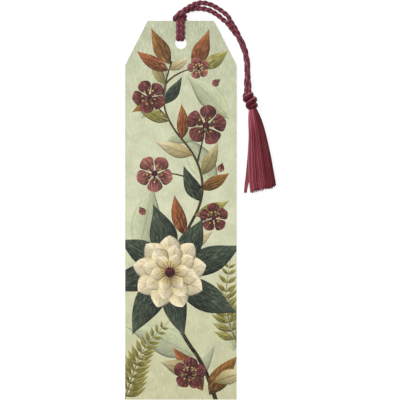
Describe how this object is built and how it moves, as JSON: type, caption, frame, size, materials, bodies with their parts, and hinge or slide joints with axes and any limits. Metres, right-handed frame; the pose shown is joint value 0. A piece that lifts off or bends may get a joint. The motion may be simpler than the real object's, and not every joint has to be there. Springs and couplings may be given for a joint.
{
  "type": "bookmark",
  "caption": "Flat card bookmark with angled top corners and a punched hole, holding a hitched twisted cord that ends in a knotted tassel.",
  "frame": {"origin": "middle of the card's bottom edge, halfway through the card's thickness", "axes": "+Y along the card to its top edge, +Z out of the printed face, +X to the right as the printed face is read"},
  "size_m": [0.069, 0.1817, 0.0077],
  "materials": {
    "card_stock": "satin",
    "cord": "satin",
    "skirt_thread": "satin"
  },
  "bodies": {
    "card": {"card": "card_stock", "hitch_strand_left": "cord", "hitch_strand_right": "cord", "hitch_loop": "cord"},
    "cord": {"cord_upper": "cord", "cord_lower": "cord"},
    "tassel": {"knot_core": "cord", "knot_wrap": "cord", "skirt_upper_locks": "skirt_thread", "skirt_lower_locks": "skirt_thread", "skirt_stray_lock": "skirt_thread"}
  },
  "joints": [
    {"name": "cord_flop", "type": "hinge", "parent": "card", "child": "cord", "pos_m": [0.0014, 0.17745, 0.00075], "axis": [-1, 0, 0], "range_deg": [-80, 80]},
    {"name": "tassel_swing", "type": "hinge", "parent": "cord", "child": "tassel", "pos_m": [0.0301, 0.1413, 0.00232], "axis": [0, 0, 1], "range_deg": [-3, 80]}
  ]
}
